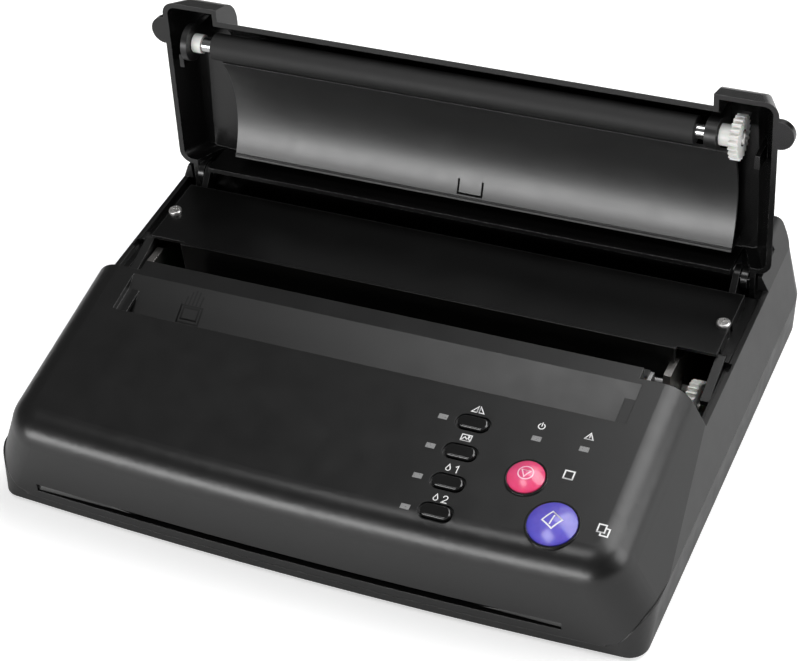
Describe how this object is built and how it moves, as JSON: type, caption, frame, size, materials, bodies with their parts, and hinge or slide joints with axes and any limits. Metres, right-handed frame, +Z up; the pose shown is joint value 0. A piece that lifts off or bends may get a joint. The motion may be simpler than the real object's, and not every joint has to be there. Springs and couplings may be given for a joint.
{
  "type": "thermal stencil copier",
  "caption": "Desktop thermal copier with a sloping control panel, a document slot and a hinged roller lid that leans back on a rear ridge.",
  "frame": {"origin": "middle of the case's footprint, on the table under the rubber feet", "axes": "+X to the right as the user sits, +Y to the back, +Z up"},
  "size_m": [0.2922, 0.2148, 0.1311],
  "materials": {
    "case_plastic": "black moulded plastic with a soft sheen",
    "base_plastic": "black moulded plastic",
    "rubber_foot": "matt rubber",
    "screw_steel": "bright zinc",
    "deck_paint": "black satin",
    "frame_steel": "zinc plated sheet",
    "sink_alu": "mill finish",
    "head_ceramic": "glazed dark ceramic",
    "head_cover_plastic": "black",
    "spring_steel": "wire",
    "guide_plastic": "black",
    "sensor_plastic": "black",
    "sensor_glass": "clear",
    "roller_rubber": "ground rubber",
    "shaft_steel": "ground steel",
    "gear_white": "white nylon",
    "motor_can": "drawn can",
    "flag_plastic": "black",
    "key_plastic": "black",
    "stop_pink": "translucent pink",
    "copy_violet": "translucent violet",
    "ring_plastic": "dark",
    "lamp_plastic": "smoked clear",
    "board_green": "circuit board",
    "chip_plastic": "black",
    "transformer_core": "laminated core with tape",
    "socket_plastic": "black",
    "brass_pin": "plain",
    "rocker_plastic": "black",
    "lid_plastic": "black moulded plastic",
    "liner_plastic": "black",
    "holder_plastic": "black"
  },
  "bodies": {
    "case": {"upper_case": "case_plastic", "lower_case": "base_plastic", "feet": "rubber_foot", "base_screws": "screw_steel", "deck_plate": "deck_paint", "deck_screws": "screw_steel", "side_plate_right": "frame_steel", "side_plate_left": "frame_steel", "drive_motor": "motor_can", "print_head": "sink_alu", "head_element": "head_ceramic", "head_cover": "head_cover_plastic", "head_carrier": "frame_steel", "head_springs": "spring_steel", "document_guide": "guide_plastic", "sensor_housing": "sensor_plastic", "sensor_glass": "sensor_glass", "feed_plates": "frame_steel", "feed_motor": "motor_can", "button_rings": "ring_plastic", "indicator_lenses": "lamp_plastic", "key_board": "board_green", "key_board_parts": "chip_plastic", "board_screws": "screw_steel", "main_board": "board_green", "power_board": "board_green", "board_parts": "chip_plastic", "transformer": "transformer_core", "power_inlet": "socket_plastic", "inlet_pins": "brass_pin", "switch_housing": "socket_plastic", "hinge_brackets": "deck_paint", "hinge_pins": "shaft_steel"},
    "lid": {"lid_shell": "lid_plastic", "lid_liner": "liner_plastic", "roller_holder_left": "holder_plastic", "roller_holder_right": "holder_plastic"},
    "platen": {"platen_roller": "roller_rubber", "platen_shaft": "shaft_steel", "platen_bush": "gear_white", "platen_gear": "gear_white", "gear_screw": "screw_steel"},
    "drive_wheel": {"drive_gear": "gear_white"},
    "drive_pinion": {"motor_pinion": "gear_white"},
    "feed": {"feed_roller": "roller_rubber", "feed_shaft": "shaft_steel", "feed_gear": "gear_white"},
    "idler": {"idler_gear": "gear_white"},
    "feed_motor_pinion": {"feed_pinion": "gear_white"},
    "key_1": {"key_mirror": "key_plastic"},
    "key_2": {"key_photo": "key_plastic"},
    "key_3": {"key_depth_1": "key_plastic"},
    "key_4": {"key_depth_2": "key_plastic"},
    "stop": {"stop_button": "stop_pink"},
    "copy": {"copy_button": "copy_violet"},
    "rocker": {"power_rocker": "rocker_plastic"},
    "lever_right": {"latch_lever_right": "holder_plastic"},
    "lever_left": {"latch_lever_left": "holder_plastic"},
    "flag": {"paper_flag": "flag_plastic"}
  },
  "joints": [
    {"name": "lid_hinge", "type": "hinge", "parent": "case", "child": "lid", "pos_m": [0, 0.0738, 0.0451], "axis": [1, 0, 0], "range_deg": [0, 96.6]},
    {"name": "platen_spin", "type": "hinge", "parent": "lid", "child": "platen", "pos_m": [0, 0.07935, 0.11311], "axis": [1, 0, 0], "continuous": true},
    {"name": "drive_gear_spin", "type": "hinge", "parent": "case", "child": "drive_wheel", "pos_m": [0, 0.01284, 0.02489], "axis": [1, 0, 0], "continuous": true},
    {"name": "motor_pinion_spin", "type": "hinge", "parent": "case", "child": "drive_pinion", "pos_m": [0, 0.02665, 0.0204], "axis": [1, 0, 0], "continuous": true},
    {"name": "feed_spin", "type": "hinge", "parent": "case", "child": "feed", "pos_m": [0, -0.08244, 0.02915], "axis": [1, 0, 0], "continuous": true},
    {"name": "idler_spin", "type": "hinge", "parent": "case", "child": "idler", "pos_m": [0, -0.06617, 0.02214], "axis": [1, 0, 0], "continuous": true},
    {"name": "feed_pinion_spin", "type": "hinge", "parent": "case", "child": "feed_motor_pinion", "pos_m": [0, -0.05503, 0.01735], "axis": [1, 0, 0], "continuous": true},
    {"name": "key_1_press", "type": "slide", "parent": "case", "child": "key_1", "axis": [0, 0.1538, -0.9881], "range_m": [0, 0.0012], "stiffness_N_per_m": 600, "springref_m": -0.0006},
    {"name": "key_2_press", "type": "slide", "parent": "case", "child": "key_2", "axis": [0, 0.1538, -0.9881], "range_m": [0, 0.0012], "stiffness_N_per_m": 600, "springref_m": -0.0006},
    {"name": "key_3_press", "type": "slide", "parent": "case", "child": "key_3", "axis": [0, 0.1538, -0.9881], "range_m": [0, 0.0012], "stiffness_N_per_m": 600, "springref_m": -0.0006},
    {"name": "key_4_press", "type": "slide", "parent": "case", "child": "key_4", "axis": [0, 0.1538, -0.9881], "range_m": [0, 0.0012], "stiffness_N_per_m": 600, "springref_m": -0.0006},
    {"name": "stop_press", "type": "slide", "parent": "case", "child": "stop", "axis": [0, 0.1538, -0.9881], "range_m": [0, 0.0012], "stiffness_N_per_m": 600, "springref_m": -0.0006},
    {"name": "copy_press", "type": "slide", "parent": "case", "child": "copy", "axis": [0, 0.1538, -0.9881], "range_m": [0, 0.0012], "stiffness_N_per_m": 600, "springref_m": -0.0006},
    {"name": "rocker_switch", "type": "hinge", "parent": "case", "child": "rocker", "pos_m": [-0.062, 0.1037, 0.033], "axis": [1, 0, 0], "range_deg": [-18, 0]},
    {"name": "lever_right_press", "type": "hinge", "parent": "case", "child": "lever_right", "pos_m": [0.1323, 0.027, 0.0406], "axis": [1, 0, 0], "range_deg": [0, 8], "stiffness_Nm_per_rad": 0.02, "springref_deg": -5.73},
    {"name": "lever_left_press", "type": "hinge", "parent": "case", "child": "lever_left", "pos_m": [-0.1323, 0.027, 0.0406], "axis": [1, 0, 0], "range_deg": [0, 8], "stiffness_Nm_per_rad": 0.02, "springref_deg": -5.73},
    {"name": "paper_flag_turn", "type": "hinge", "parent": "case", "child": "flag", "pos_m": [0.0265, -0.062, 0.026], "axis": [1, 0, 0], "range_deg": [0, 18], "stiffness_Nm_per_rad": 0.002, "springref_deg": -5.73}
  ],
  "couplings": [
    {"joint": "motor_pinion_spin", "follows": "drive_gear_spin", "ratio": -2.6},
    {"joint": "idler_spin", "follows": "feed_spin", "ratio": -1.2},
    {"joint": "feed_pinion_spin", "follows": "feed_spin", "ratio": 2.4}
  ]
}
